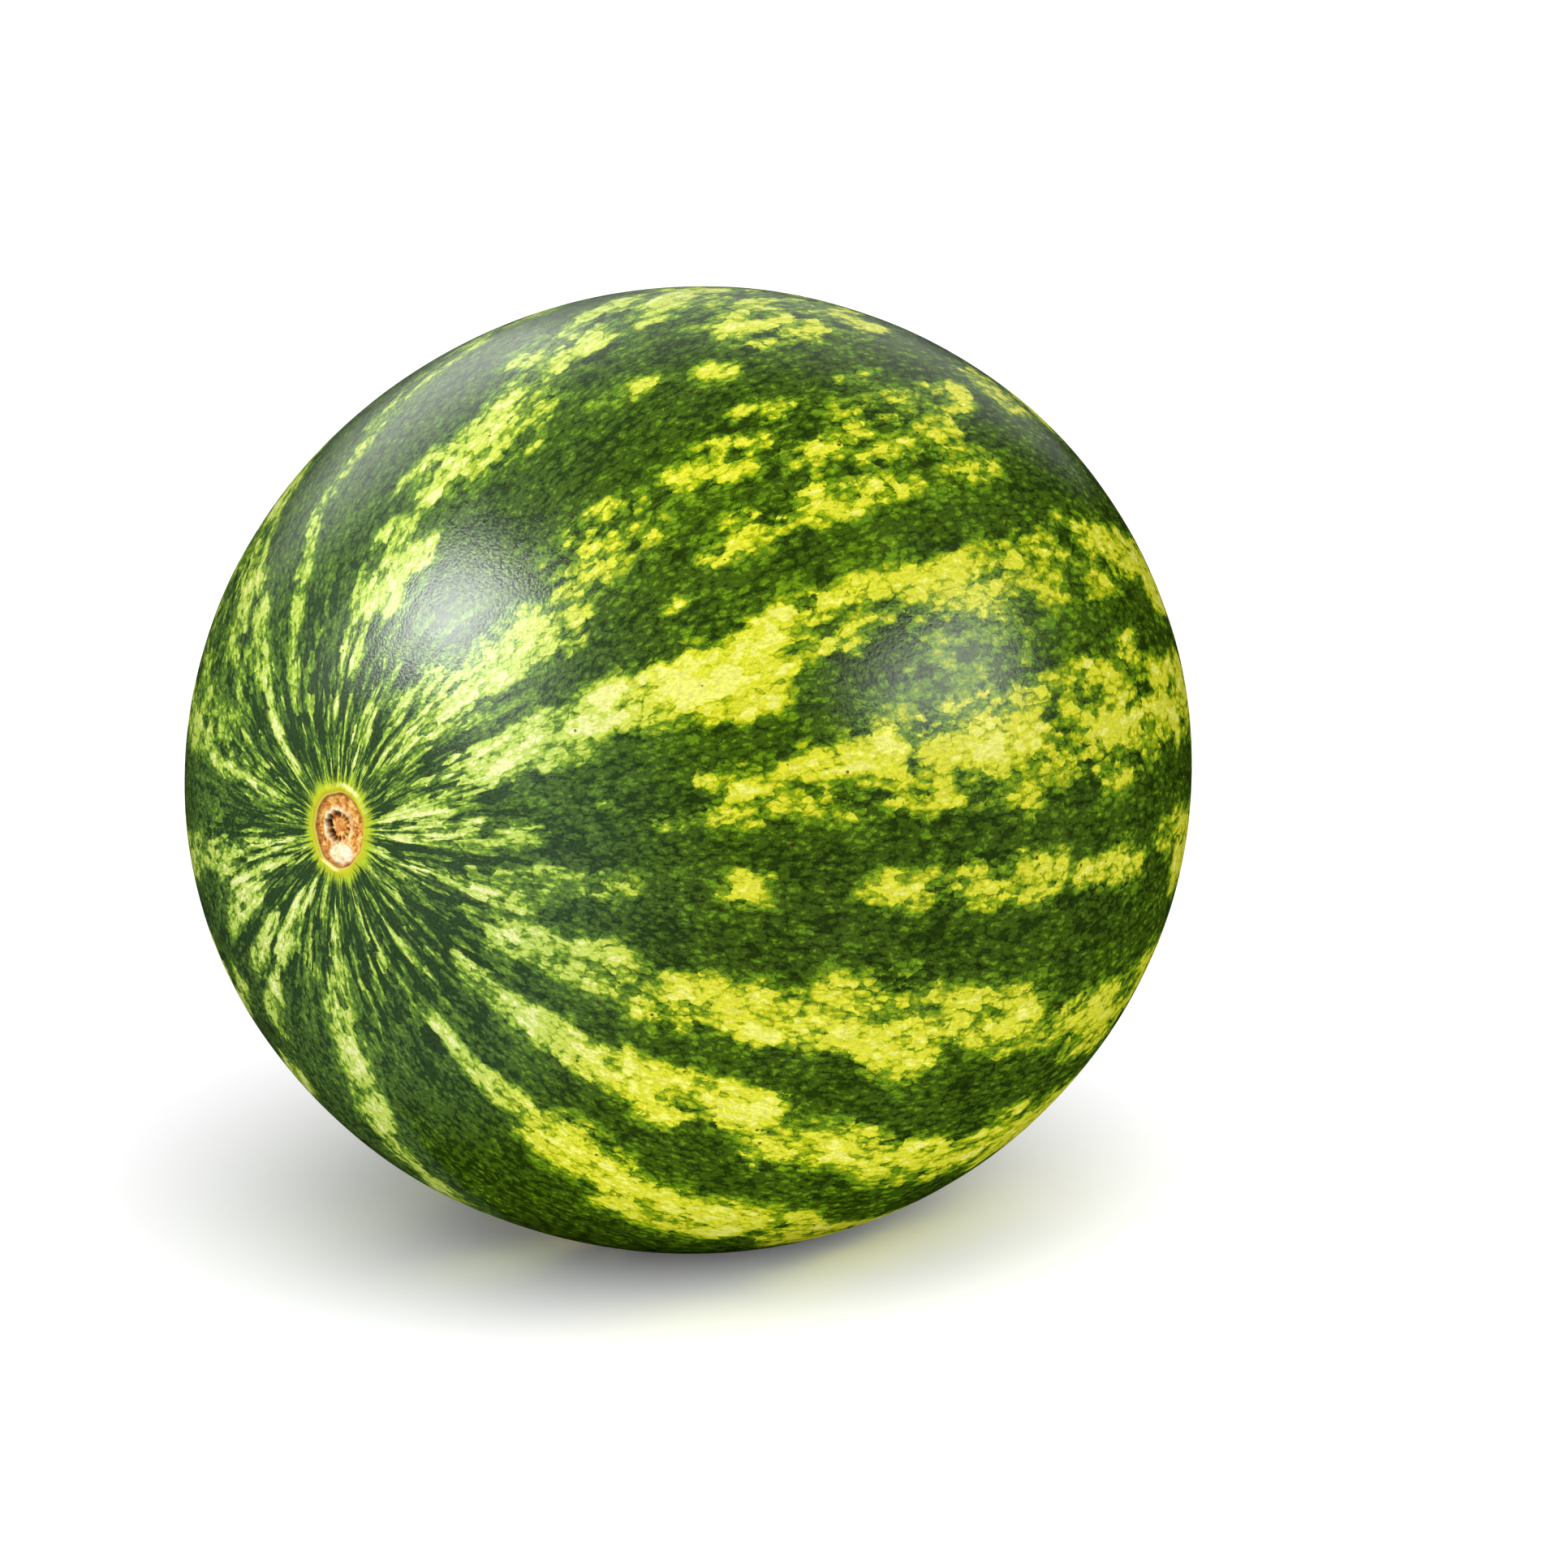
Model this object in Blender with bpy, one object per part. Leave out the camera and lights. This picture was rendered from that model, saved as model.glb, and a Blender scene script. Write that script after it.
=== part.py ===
"""A whole watermelon lying on its side, as one grown solid.

The fruit is a body of revolution about its stem-to-blossom axis: an oval, a little
fuller towards the blossom end, with a shallow basin and a corky scar where the stem
came away and a small button where the flower was. It lies along X with
the stem end at -X, the stem end is tilted up a little, and the belly is pressed flat
where the fruit rests. The origin is on the floor under the middle of the fruit's box.
"""

import math

import bmesh
import bpy
from mathutils import Matrix, Vector

# Driving dimensions, in metres and degrees.
LENGTH = 0.253
DIAMETER = 0.230
FULLER_AT_BLOSSOM = 0.057
STEM_END_RAISED = 3.7

BASIN_RADIUS = 0.030
BASIN_DEPTH = 0.0020
STEM_SCAR_RADIUS = 0.0088
STEM_SCAR_DEPTH = 0.0009
SCAR_RIM_WIDTH = 0.0016

BUTTON_RADIUS = 0.0045
BUTTON_HEIGHT = 0.0006
BLOSSOM_BASIN_RADIUS = 0.020
BLOSSOM_BASIN_DEPTH = 0.0012

BELLY_PRESSED_IN = 0.0040
BELLY_EDGE_SOFTNESS = 0.0012

# The mesh's fineness.
STEPS_AROUND = 64
RINGS_ALONG = 38
SCAR_RINGS = (0.45, 0.85, 1.0, 1.18, 1.6)
BUTTON_RINGS = (0.6, 1.0, 1.6)

RIND_GREEN = (0.045, 0.115, 0.012, 1.0)
RIND_ROUGHNESS = 0.38


def clear_scene():
    for obj in list(bpy.data.objects):
        bpy.data.objects.remove(obj)


def rind_material():
    """Waxy melon rind, in its ground colour."""
    material = bpy.data.materials.new("rind")
    material.use_nodes = True
    shader = material.node_tree.nodes["Principled BSDF"]
    shader.inputs["Base Color"].default_value = RIND_GREEN
    shader.inputs["Roughness"].default_value = RIND_ROUGHNESS
    shader.inputs["Metallic"].default_value = 0.0
    return material


def smooth_step(value):
    """0 below 0, 1 above 1, and an even curve between."""
    value = min(1.0, max(0.0, value))
    return value * value * (3.0 - 2.0 * value)


def hollow(radius, reach, depth):
    """How deep a round basin of that reach and depth is, at a radius from the axis."""
    return depth * (1.0 - smooth_step(radius / reach))


def outline_point(turn):
    """A point (along, radius) of the oval outline; turn runs from 0 at the stem to pi."""
    along = -math.cos(turn)
    radius = math.sin(turn) * (1.0 + FULLER_AT_BLOSSOM * along)
    return along * LENGTH / 2.0, radius * DIAMETER / 2.0


def with_ends_formed(along, radius):
    """The outline point moved in by the stem basin and scar, and by the blossom end."""
    if along < 0.0:
        along += hollow(radius, BASIN_RADIUS, BASIN_DEPTH)
        rim = (radius - STEM_SCAR_RADIUS) / SCAR_RIM_WIDTH
        return along + STEM_SCAR_DEPTH * (1.0 - smooth_step(rim)), radius
    along -= hollow(radius, BLOSSOM_BASIN_RADIUS, BLOSSOM_BASIN_DEPTH)
    rim = (radius - BUTTON_RADIUS) / BUTTON_RADIUS
    return along + BUTTON_HEIGHT * (1.0 - smooth_step(rim)), radius


def turn_at_radius(radius):
    """The turn, near the stem, at which the outline is that far from the axis."""
    low, high = 0.0, math.pi / 4.0
    for _ in range(40):
        middle = (low + high) / 2.0
        if outline_point(middle)[1] < radius:
            low = middle
        else:
            high = middle
    return (low + high) / 2.0


def profile():
    """Half of the fruit's section, from the stem's axis point to the blossom's."""
    scar = [turn_at_radius(STEM_SCAR_RADIUS * share) for share in SCAR_RINGS]
    button = [math.pi - turn_at_radius(BUTTON_RADIUS * share) for share in BUTTON_RINGS]
    first, last = scar[-1], button[-1]
    body = [
        first + (last - first) * ring / RINGS_ALONG for ring in range(1, RINGS_ALONG)
    ]
    turns = [0.0, *scar, *body, *reversed(button), math.pi]
    return [with_ends_formed(*outline_point(turn)) for turn in turns]


def spun_body(points):
    """The closed solid made by turning the profile once about X."""
    mesh = bmesh.new()
    chain = [mesh.verts.new((along, 0.0, radius)) for along, radius in points]
    edges = [mesh.edges.new(pair) for pair in zip(chain, chain[1:])]
    bmesh.ops.spin(
        mesh,
        geom=chain + edges,
        axis=(1.0, 0.0, 0.0),
        cent=(0.0, 0.0, 0.0),
        angle=math.tau,
        steps=STEPS_AROUND,
        use_merge=True,
    )
    bmesh.ops.remove_doubles(mesh, verts=mesh.verts, dist=1e-6)
    bmesh.ops.recalc_face_normals(mesh, faces=mesh.faces)
    return mesh


def lay_down(mesh):
    """Tilts the fruit, sinks it by the pressed-in belly and centres it over the origin."""
    tilt = Matrix.Rotation(math.radians(STEM_END_RAISED), 4, "Y")
    bmesh.ops.transform(mesh, matrix=tilt, verts=mesh.verts)
    low = Vector(min(v.co[i] for v in mesh.verts) for i in range(3))
    high = Vector(max(v.co[i] for v in mesh.verts) for i in range(3))
    middle = (low + high) / 2.0
    shift = Vector((-middle.x, -middle.y, -low.z - BELLY_PRESSED_IN))
    bmesh.ops.translate(mesh, vec=shift, verts=mesh.verts)


def press_belly_flat(mesh):
    """Raises what is under the floor to it, with a soft turn at the flat's edge."""
    soft = BELLY_EDGE_SOFTNESS
    for vert in mesh.verts:
        height = vert.co.z
        if height <= -soft:
            vert.co.z = 0.0
        elif height < soft:
            vert.co.z = (height + soft) ** 2 / (4.0 * soft)


def make_watermelon():
    mesh = spun_body(profile())
    lay_down(mesh)
    press_belly_flat(mesh)
    data = bpy.data.meshes.new("watermelon")
    mesh.to_mesh(data)
    mesh.free()
    data.shade_smooth()
    data.materials.append(rind_material())
    fruit = bpy.data.objects.new("watermelon", data)
    bpy.context.scene.collection.objects.link(fruit)


def main():
    clear_scene()
    make_watermelon()


main()
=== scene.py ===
"""Finish of a whole watermelon: the fine rind with its stem scar, its stripes, and the stage.

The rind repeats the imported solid's formulas at a finer step, so it lies on that solid.
"""

import math

import bpy
import numpy as np
from bpy.props import FloatProperty, IntProperty, PointerProperty, StringProperty
from mathutils import Matrix, Vector, noise


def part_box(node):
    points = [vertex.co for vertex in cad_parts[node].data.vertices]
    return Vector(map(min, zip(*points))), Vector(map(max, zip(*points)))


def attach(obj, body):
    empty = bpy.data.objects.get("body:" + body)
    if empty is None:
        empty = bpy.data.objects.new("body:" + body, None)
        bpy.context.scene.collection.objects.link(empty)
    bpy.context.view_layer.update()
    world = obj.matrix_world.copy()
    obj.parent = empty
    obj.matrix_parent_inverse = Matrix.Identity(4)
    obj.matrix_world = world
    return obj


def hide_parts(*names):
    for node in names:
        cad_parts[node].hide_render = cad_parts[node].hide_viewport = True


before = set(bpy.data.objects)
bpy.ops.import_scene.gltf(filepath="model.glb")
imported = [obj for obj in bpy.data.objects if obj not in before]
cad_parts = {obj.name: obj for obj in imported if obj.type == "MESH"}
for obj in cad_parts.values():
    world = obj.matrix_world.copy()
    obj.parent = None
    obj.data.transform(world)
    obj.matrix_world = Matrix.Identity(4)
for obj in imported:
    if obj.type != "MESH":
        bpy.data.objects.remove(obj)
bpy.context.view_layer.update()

bl_info = {
    "name": "Whole watermelon",
    "version": (1, 0, 0),
    "blender": (4, 5, 0),
    "location": "3D View > Sidebar > Melon",
    "description": "Models the striped rind of a whole watermelon, its stem scar and a plain stage",
    "category": "Object",
}

NODE = "watermelon"
MILLIMETRE = 0.001

# Pale strokes of the rind, each (turn from, turn to, side from, side to, half width from,
# half width to, paleness). Turn is counted from the stem end, 0, to the blossom end, 180.
# Side goes round the fruit from its top, 0, towards -Y. All angles are in degrees.
STRIPES = {
    "crown": (
        (40, 60, 1, 3, 5, 5, 0.34), (60, 95, 0, 2, 6, 6, 0.3),
        (75, 98, 14, 16, 6, 6, 0.32), (14, 29, -7.5, -7, 2.4, 2.4, 0.6),
        (16, 22, -3, -2, 1.6, 1.8, 0.55), (29.5, 33, -8.5, -8, 1.3, 1.2, 0.76),
        (33, 37.5, -7, -5.5, 1.4, 1.6, 0.55), (24.5, 33, -2.5, -2.5, 2.3, 2, 0.86),
        (26, 34, 2, 4, 3.4, 3.8, 0.96), (29, 36, 6, 6.5, 1.6, 1.4, 0.62),
        (32, 38, -2.5, -1.5, 1.8, 1.8, 0.66), (39.5, 46.5, 0, 0.5, 2.2, 2.4, 0.94),
        (40.5, 43.5, -8.5, -7.5, 1, 1.2, 0.66), (43, 48, -6, -6, 1.5, 1.3, 0.6),
        (47.5, 51.5, -2.2, -2, 1.5, 1.3, 0.84), (47, 55, 1.5, 2.2, 2.4, 2.6, 0.96),
        (55.5, 57.5, 0.5, 2.5, 1.2, 1, 0.6), (43, 48, 4.5, 6.5, 1.5, 1.8, 0.76),
        (48, 56, 5.6, 6.2, 1.9, 1.8, 0.7), (46, 50, 8, 8.5, 1.2, 1.1, 0.55),
        (49, 55, 8.8, 8.2, 1.1, 1, 0.46), (48, 51.5, 11, 10.5, 0.9, 1, 0.36),
        (58, 60.5, 3, 5, 1, 0.9, 0.46), (57, 60.5, 13, 13.5, 1, 0.9, 0.44),
        (61, 64.5, 14, 15.3, 0.9, 1.1, 0.48), (59, 66, 16, 16.5, 1, 1, 0.36),
        (61, 65, -3.5, -2.5, 1.9, 1.6, 0.8), (65.5, 67, -6.5, -6, 0.9, 0.9, 0.4),
        (68.3, 70.3, -2, -0.8, 1.2, 1.2, 0.74), (72, 74.5, -2.8, -2.2, 1.3, 1.2, 0.76),
        (75, 81, -3.5, -3.2, 1.5, 1.4, 0.6), (63, 65.5, 0.8, 1.2, 1.1, 1, 0.7),
        (64.5, 70.5, 3.2, 3, 1.7, 1.7, 0.84), (70, 76, 1.2, 2.5, 1.3, 1.4, 0.56),
        (72.5, 77.5, 5, 5, 0.9, 0.9, 0.8), (73.5, 86, 3.5, 2, 1.6, 2.2, 0.78),
        (84, 91, -1, 2, 2.6, 3.2, 0.66), (82.5, 84.2, 8, 8.2, 1.1, 1, 0.74),
        (84.5, 93, 9.5, 9.8, 1, 1, 0.68), (83, 88, 11.5, 12, 1.7, 1.8, 0.8),
        (75.5, 82, 13.3, 13.6, 1.2, 1.6, 0.78), (80, 87, 16, 15.5, 1.8, 1.8, 0.74),
        (68.7, 72.2, 20.3, 20.2, 1.8, 1.4, 0.9), (76.5, 82, 20, 20.2, 1.2, 1, 0.66),
        (82.5, 90, 20.2, 19.4, 1.5, 1.2, 0.76), (91.5, 99, 20.4, 19.8, 1.6, 1.3, 0.74),
        (95, 101, 14, 13.5, 1.5, 1.8, 0.66), (97, 118, 6, 14, 3.5, 5.5, 0.52),
        (116, 140, 14, 10, 5, 6, 0.7), (138, 168, 8, 6, 6, 7, 0.7),
    ),
    "upper": (
        (38, 52, 34, 35, 6, 6, 0.32), (54, 90, 33, 37, 4, 4, 0.24),
        (52, 92, 44, 45, 3, 3, 0.3), (8, 16, 12, 12, 4, 4, 0.62),
        (15, 23, 28, 30, 4, 4, 0.6), (10, 19, 36, 38, 5, 4, 0.7),
        (16, 35, 41, 42, 4, 3.6, 0.86), (17, 35, 34, 36, 3.5, 3, 0.66),
        (36, 39.3, 42, 42, 1.5, 1.3, 0.82), (34, 37.3, 46.5, 46.5, 1.5, 1.4, 0.7),
        (38, 41, 33.5, 34, 1.2, 1.2, 0.55), (37, 46, 36.5, 37.5, 1.2, 1.1, 0.6),
        (42, 44, 31, 31, 1.1, 1, 0.62), (45.5, 50, 28.5, 29.5, 1.2, 1.2, 0.6),
        (45, 49, 31.5, 32, 1, 1, 0.5), (43.5, 47, 34, 34.5, 1.3, 1.2, 0.78),
        (48.5, 50, 37, 37.5, 0.9, 0.9, 0.66), (46.3, 48.3, 49, 49, 0.9, 0.9, 0.62),
        (54.5, 58, 31, 31.5, 1.2, 1.2, 0.78), (56, 60, 32.5, 33.5, 1.6, 1.6, 0.8),
        (58.5, 64.5, 34.5, 36, 1.7, 1.6, 0.8), (60.5, 66, 29, 31, 1.2, 1.4, 0.88),
        (66.3, 68.3, 27.5, 28, 1, 1, 0.95), (69.7, 73.5, 30, 30, 1.3, 1.2, 0.66),
        (65, 70, 38, 38.5, 1.2, 1.4, 0.82), (69, 75, 36, 36.5, 1.5, 1.2, 0.74),
        (70, 74, 38.5, 39, 0.9, 0.9, 0.7), (75, 79, 36.5, 37, 1.2, 1, 0.66),
        (76, 79, 38.5, 38.5, 0.9, 0.9, 0.6), (72.5, 82, 41, 40.5, 1, 1.1, 0.76),
        (82, 87, 37, 35.5, 0.9, 1.5, 0.66), (83.5, 87, 40, 42, 1.3, 1.4, 0.72),
        (87.5, 90.5, 40.7, 41, 0.9, 1, 0.7), (80.5, 86, 29.5, 29.3, 0.9, 0.9, 0.62),
        (55.5, 60, 41.5, 43, 1, 1.3, 0.76), (54.5, 58, 44.5, 44.8, 0.9, 1, 0.84),
        (57, 61.5, 44.5, 45.8, 1.4, 1, 0.8), (51, 55, 44, 43.5, 0.9, 0.9, 0.56),
        (51, 53.5, 46.5, 46, 0.9, 0.9, 0.5), (67.5, 69, 40.8, 40.8, 0.9, 0.9, 0.62),
        (66, 69.5, 43.5, 42.5, 0.9, 0.9, 0.7), (65, 70, 45.5, 46, 1.4, 1.2, 0.72),
        (69.5, 75, 44.5, 45, 1.6, 1.2, 0.74), (73.5, 75, 43.3, 44, 0.9, 0.9, 0.84),
        (75.5, 80, 46, 45.6, 0.9, 0.9, 0.52), (82, 88, 44.8, 46, 0.9, 1.2, 0.68),
        (87, 91, 46.5, 47, 0.9, 0.9, 0.66), (91, 93, 32.8, 33, 0.9, 0.9, 0.6),
        (94, 98, 34, 33.5, 0.9, 1.2, 0.7), (90.5, 96, 37.3, 36.2, 0.9, 0.9, 0.6),
        (102, 110, 31, 30, 1.8, 2.5, 0.6), (102.5, 110, 35, 35.5, 2, 2.5, 0.64),
        (112, 134, 34, 38, 3.5, 5, 0.74), (132, 168, 38, 44, 4.5, 7, 0.7),
    ),
    "broad": (
        (36, 56, 62, 62, 6, 6, 0.36), (54, 104, 59, 59, 4.5, 4.5, 0.34),
        (63, 84, 64.5, 67, 5, 5, 0.18), (8, 20, 58, 59, 4, 4, 0.64),
        (9, 20, 66, 65, 3, 3.2, 0.7), (19, 31, 61, 61, 5.6, 5, 1.04),
        (20, 33, 67, 67, 2.4, 2.4, 0.68), (30, 44, 60.5, 61, 4.4, 4.4, 1),
        (42, 55.5, 61.2, 61.2, 4.2, 4.2, 1.04), (43.5, 50, 67, 67, 2.4, 2.4, 1.08),
        (48.5, 53.5, 67, 67, 2.2, 2, 0.9), (52, 59, 56.5, 56.5, 1.1, 1.1, 0.68),
        (53, 56, 62.5, 62.5, 1.8, 1.5, 0.72), (55, 63, 61.5, 61.5, 1.6, 1.6, 0.66),
        (60, 63, 56.7, 56.7, 1.3, 1.3, 0.8), (60, 63.5, 63.2, 63.2, 1.3, 1.2, 0.6),
        (63, 80, 57.5, 57.5, 2.1, 2.1, 0.84), (69, 73, 58.2, 58.2, 1, 1, 1),
        (76, 79, 61.8, 61.8, 1.8, 1.7, 0.68), (80, 83, 61.2, 61.2, 0.9, 0.9, 0.66),
        (80, 87, 57.5, 57.5, 1.6, 1.5, 0.62), (88, 94, 56.8, 56.8, 1.3, 1.2, 0.66),
        (92.5, 100, 57, 62, 1.1, 1.1, 0.78), (95, 98, 53.5, 53.5, 1, 1, 0.6),
        (97, 101.5, 57, 57, 1.6, 1.6, 0.74), (90, 92, 61, 61, 1, 1, 0.62),
        (98, 101.5, 61.2, 61.2, 1.2, 1.3, 0.66), (103, 112, 58, 58, 2.5, 2.6, 0.68),
        (112, 134, 60, 62, 4, 6, 0.78), (132, 168, 62, 66, 6, 8, 0.72),
    ),
    "lower": (
        (42, 60, 80, 79, 4.5, 5, 0.4), (58, 106, 79, 77, 6, 7, 0.4),
        (6, 16, 76, 76, 3.2, 3.2, 0.9), (6, 20, 82, 82, 3, 3, 0.8),
        (15, 26, 84, 86, 3, 3, 0.6), (32, 34, 79.5, 79.5, 1, 1, 0.6),
        (38, 41, 83, 83, 1, 1, 0.55), (42, 45, 77.5, 77.5, 0.9, 0.9, 0.6),
        (45, 52, 79.7, 79.7, 1, 1, 0.84), (45.5, 49, 83, 83, 0.9, 0.9, 0.56),
        (47, 49, 85, 85, 1.1, 1.1, 0.78), (50, 55, 78, 78, 1.8, 1.8, 0.96),
        (50, 57, 82, 82, 1.1, 1.1, 0.6), (55, 64.5, 77.2, 77.2, 2.2, 2.2, 1.06),
        (57, 61, 75, 75, 0.9, 0.9, 0.56), (60, 65, 80.7, 80.7, 1.3, 1.3, 0.74),
        (62, 70, 82, 82, 2.3, 2.1, 0.94), (64, 69, 83.6, 83.6, 1.4, 1.3, 0.66),
        (66, 73, 78.5, 78.5, 1.8, 1.7, 0.86), (69.5, 75, 74, 74, 0.9, 0.9, 0.6),
        (70, 83, 77.2, 77, 2.4, 2.4, 0.94), (70, 77, 80.5, 80.5, 0.9, 0.9, 0.56),
        (77, 84, 73.5, 73.5, 1.1, 1, 0.66), (78, 81.5, 84.7, 84.7, 1.7, 1.7, 0.62),
        (83.5, 88, 72.3, 72.3, 1.2, 1.2, 0.62), (85, 89, 76, 76, 1.1, 1.1, 0.62),
        (86, 88.5, 79, 79, 1.1, 1.1, 0.62), (90, 94, 72.5, 72.5, 2, 2, 0.62),
        (92, 104, 77.5, 77.5, 2.5, 2.5, 0.72), (90, 96, 80.5, 80.5, 2.4, 2.4, 0.72),
        (94, 96, 84, 84, 1, 1, 0.6), (100, 104, 71, 71, 2.8, 2.8, 0.72),
        (104, 119, 74, 76, 3.6, 4.2, 0.82), (104, 113, 79, 80, 2.2, 2.2, 0.72),
        (117, 140, 77, 80, 4.5, 6, 0.78), (138, 168, 80, 84, 6, 8, 0.72),
    ),
    "flank": (
        (5, 16, 88, 88, 3, 3, 0.86), (25, 34, 96, 96, 3, 3, 0.6),
        (30, 37, 93.5, 95, 2, 2, 0.52), (45, 51, 94, 95, 2, 2.2, 0.68),
        (60, 86, 94, 94, 2.2, 2.6, 0.62), (88, 93, 94.5, 94.5, 1.6, 1.6, 0.64),
        (93, 101, 94, 95, 2.2, 2.4, 0.78), (104, 113, 92, 93, 2.2, 2.4, 0.6),
        (112, 140, 96, 98, 4, 5, 0.72), (138, 168, 98, 100, 5, 7, 0.7),
        (5, 14, 104, 104, 2.6, 2.6, 0.92), (10, 26, 103, 104, 3, 3, 0.55),
    ),
    "left": (
        (22, 70, -62, -60, 14, 12, 0.26), (8, 18, -46, -46, 2.4, 2.5, 0.92),
        (18, 34, -45, -43, 2.6, 3.2, 0.68), (34, 50, -46, -44, 3.2, 3.2, 0.64),
        (50, 80, -44, -46, 3.6, 4.5, 0.76), (12, 44, -30, -27, 2, 2.6, 0.4),
        (43, 56, -26, -22, 1.6, 2.6, 0.36), (55, 67, -24, -20, 2.6, 3.2, 0.36),
        (62, 84, -21, -14, 2.4, 3.4, 0.36), (84, 120, -22, -26, 4, 5, 0.76),
        (118, 168, -26, -30, 5, 8, 0.72), (8, 22, -75, -74, 3, 3.4, 0.78),
        (20, 31, -78, -76, 3, 3, 0.64), (30, 46, -78, -78, 3.2, 4, 0.66),
    ),
    "low left": (
        (6, 22, -116, -118, 3.6, 4.6, 0.78), (9, 26, -106, -108, 4, 5, 0.62),
        (20, 42, -104, -104, 4, 4.4, 0.55), (14, 28, -124, -124, 3, 3, 0.62),
        (6, 14, -152, -148, 3, 3, 0.92), (9, 22, -146, -146, 3.8, 3.2, 0.76),
        (14, 28, -138, -138, 3, 3, 0.62), (24, 35, -146, -146, 3, 3.2, 0.68),
        (34, 44, -133, -133, 3, 2.4, 0.64), (8, 20, -177, -176, 2.2, 2.4, 0.86),
        (17, 40, -173, -172, 3.6, 4, 0.76), (30, 52, -170, -170, 3, 3.4, 0.66),
    ),
}

# Stripes that run on out of sight, each (side, turn where it starts), in degrees.
HIDDEN_STRIPES = (
    (114, 22), (132, 20), (152, 24), (-172, 52), (-146, 42), (-122, 40), (-102, 42), (-76, 44),
)


class MelonShape(bpy.types.PropertyGroup):
    """Sizes of the fruit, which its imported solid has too."""

    length: FloatProperty(
        name="Length", description="From stem end to blossom end", default=0.253, unit="LENGTH"
    )
    diameter: FloatProperty(
        name="Diameter", description="Across the middle", default=0.230, unit="LENGTH"
    )
    fuller_at_blossom: FloatProperty(
        name="Fuller at blossom", description="Share by which it is wider there", default=0.057
    )
    stem_end_raised: FloatProperty(
        name="Stem end raised",
        description="Tilt of the axis",
        default=math.radians(3.7),
        subtype="ANGLE",
    )
    basin_radius: FloatProperty(
        name="Basin radius", description="Reach of the stem's hollow", default=0.030, unit="LENGTH"
    )
    basin_depth: FloatProperty(
        name="Basin depth", description="Depth of the stem's hollow", default=0.0020, unit="LENGTH"
    )
    blossom_basin_radius: FloatProperty(
        name="Blossom basin radius",
        description="Reach of the far hollow",
        default=0.020,
        unit="LENGTH",
    )
    blossom_basin_depth: FloatProperty(
        name="Blossom basin depth",
        description="Depth of the far hollow",
        default=0.0012,
        unit="LENGTH",
    )
    belly_edge_softness: FloatProperty(
        name="Belly edge",
        description="Height of the flat spot's rounding",
        default=0.0012,
        unit="LENGTH",
    )
    unevenness: FloatProperty(
        name="Unevenness", description="Height of slow swellings", default=0.00035, unit="LENGTH"
    )


class MelonScar(bpy.types.PropertyGroup):
    """Sizes of the stem scar and of the blossom button."""

    half_width: FloatProperty(
        name="Half width", description="Half of the scar across", default=0.0066, unit="LENGTH"
    )
    half_height: FloatProperty(
        name="Half height", description="Half of the scar upright", default=0.0077, unit="LENGTH"
    )
    lean: FloatProperty(
        name="Lean",
        description="Turn of the scar's long axis",
        default=math.radians(5.0),
        subtype="ANGLE",
    )
    depth: FloatProperty(
        name="Depth", description="How far the cork is sunk in", default=0.0008, unit="LENGTH"
    )
    lip_height: FloatProperty(
        name="Lip height", description="Rise of the scar's lip", default=0.0006, unit="LENGTH"
    )
    pit_ring_radius: FloatProperty(
        name="Pit ring radius",
        description="Of the ring of sap vessels",
        default=0.0028,
        unit="LENGTH",
    )
    pits: IntProperty(name="Pits", description="Sap vessels in the ring", default=15)
    button_radius: FloatProperty(
        name="Button radius", description="Of the blossom's mark", default=0.0045, unit="LENGTH"
    )
    button_height: FloatProperty(
        name="Button height",
        description="Rise of the blossom's mark",
        default=0.0006,
        unit="LENGTH",
    )


class MelonRind(bpy.types.PropertyGroup):
    """Colours and grain of the rind, as sRGB hex values and millimetres."""

    # The cool tones are greyer: partly the rind's own colour, partly a painted sheen.
    cool: StringProperty(
        name="Cool tones",
        description="Tones near the stem: dark, ground, light, three steps of a stripe, cream",
        default="2C4422 48642A 5C802E 789A32 9EBC3C C0D662 E6EAA0",
    )
    warm: StringProperty(
        name="Warm tones",
        description="The same seven tones past the middle",
        default="243A02 3E5A05 60860A 88A20C B5BE08 DADC30 EBEC6C",
    )
    lenticel: StringProperty(name="Lenticels", description="Breathing spots", default="3A2A08")
    ground_spot: StringProperty(name="Ground spot", description="Belly patch", default="E0CF86")
    roughness: FloatProperty(
        name="Roughness", description="Roughness of the wax", default=0.24, subtype="FACTOR"
    )
    grain: FloatProperty(name="Grain", description="Cell groups of the skin, in mm", default=1.7)
    fleck: FloatProperty(name="Fleck", description="Small torn patches, in mm", default=3.3)
    patch: FloatProperty(name="Patch", description="Large torn patches, in mm", default=6.5)
    drift: FloatProperty(name="Drift", description="Slow change of tone, in mm", default=9.0)
    streak: FloatProperty(name="Streak", description="Streaks round the stem, in mm", default=7.0)
    dash: FloatProperty(
        name="Dash", description="Dashes that streaks break into, in mm", default=4.2
    )


class MelonStage(bpy.types.PropertyGroup):
    """Floor, lights and camera."""

    floor: StringProperty(name="Floor", description="Floor colour", default="F7F6FA")
    camera_azimuth: FloatProperty(
        name="Camera azimuth",
        description="Round from the side",
        default=math.radians(-54.28),
        subtype="ANGLE",
    )
    camera_elevation: FloatProperty(
        name="Camera elevation",
        description="Above level",
        default=math.radians(12.0),
        subtype="ANGLE",
    )
    camera_distance: FloatProperty(
        name="Camera distance", description="From lens to fruit", default=1.104, unit="LENGTH"
    )
    lens: FloatProperty(name="Lens", description="Focal length in mm", default=106.27)


def smooth_step(value):
    """0 below 0, 1 above 1, and an even curve between."""
    value = np.clip(value, 0.0, 1.0)
    return value * value * (3.0 - 2.0 * value)


def bump_at(value, centre, half_width):
    """1 at the centre, falling evenly to 0 at the half width on both sides."""
    return 1.0 - smooth_step(np.abs(value - centre) / half_width)


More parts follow.
